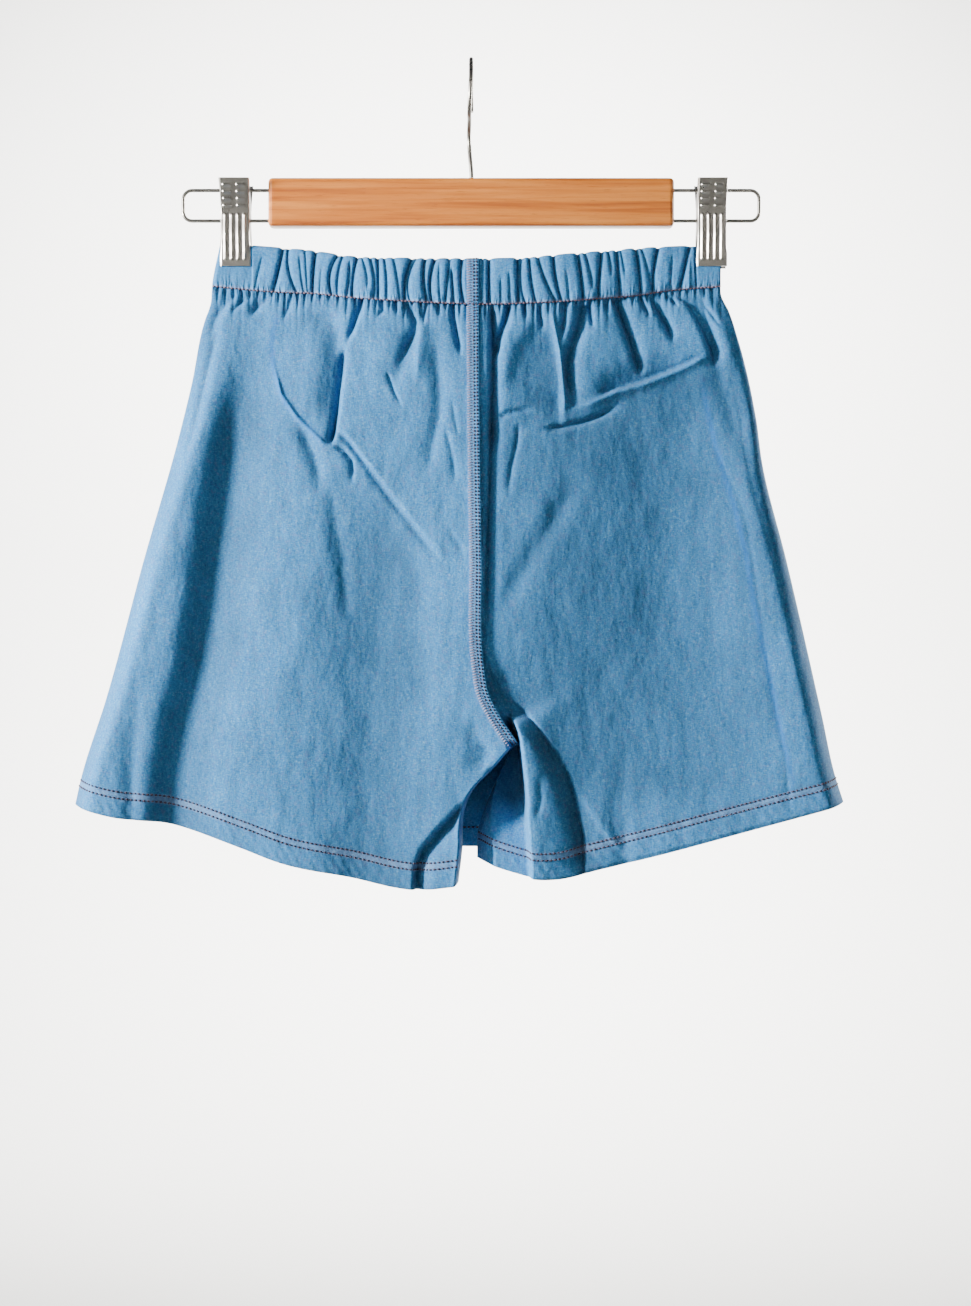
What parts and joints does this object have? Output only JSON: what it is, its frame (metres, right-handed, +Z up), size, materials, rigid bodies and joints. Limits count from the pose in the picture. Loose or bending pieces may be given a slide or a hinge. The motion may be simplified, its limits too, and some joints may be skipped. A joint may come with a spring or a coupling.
{
  "type": "skort on a two-clip hanger",
  "caption": "Pull-on denim skort with an elastic waist, short legs behind and a skirt panel in front, hung from a wooden clip hanger.",
  "frame": {"origin": "top inner point of the hanger's hook, where it bears on the rod or door that holds it", "axes": "+Z up, +X to the right of someone who looks at the skort's back, -Y the side of the skort's back"},
  "size_m": [0.4821, 0.0532, 0.5208],
  "materials": {
    "denim_back": "light blue stretch denim twill, heathered, matt",
    "denim_front": "light blue stretch denim twill, heathered, matt",
    "denim_seam": "lapped seam with twin rows of lilac grey stitches",
    "bar_wood": "clear satin varnish on pale orange wood",
    "wire": "chromed steel wire",
    "clip_plate": "chromed pressed steel",
    "spring": "bright spring steel"
  },
  "bodies": {
    "root": {"back_panel_left": "denim_back", "back_panel_right": "denim_back", "back_casing_left": "denim_back", "back_casing_right": "denim_back", "back_seam": "denim_seam", "front_panel_left": "denim_front", "front_panel_right": "denim_front", "front_casing": "denim_front", "skirt_front": "denim_front", "hanger_bar": "bar_wood", "hanger_hook": "wire", "wire_loop_left": "wire", "wire_loop_right": "wire", "clip_left_front": "clip_plate", "clip_left_back": "clip_plate", "clip_left_spring": "spring", "clip_right_front": "clip_plate", "clip_right_back": "clip_plate", "clip_right_spring": "spring"}
  },
  "joints": []
}
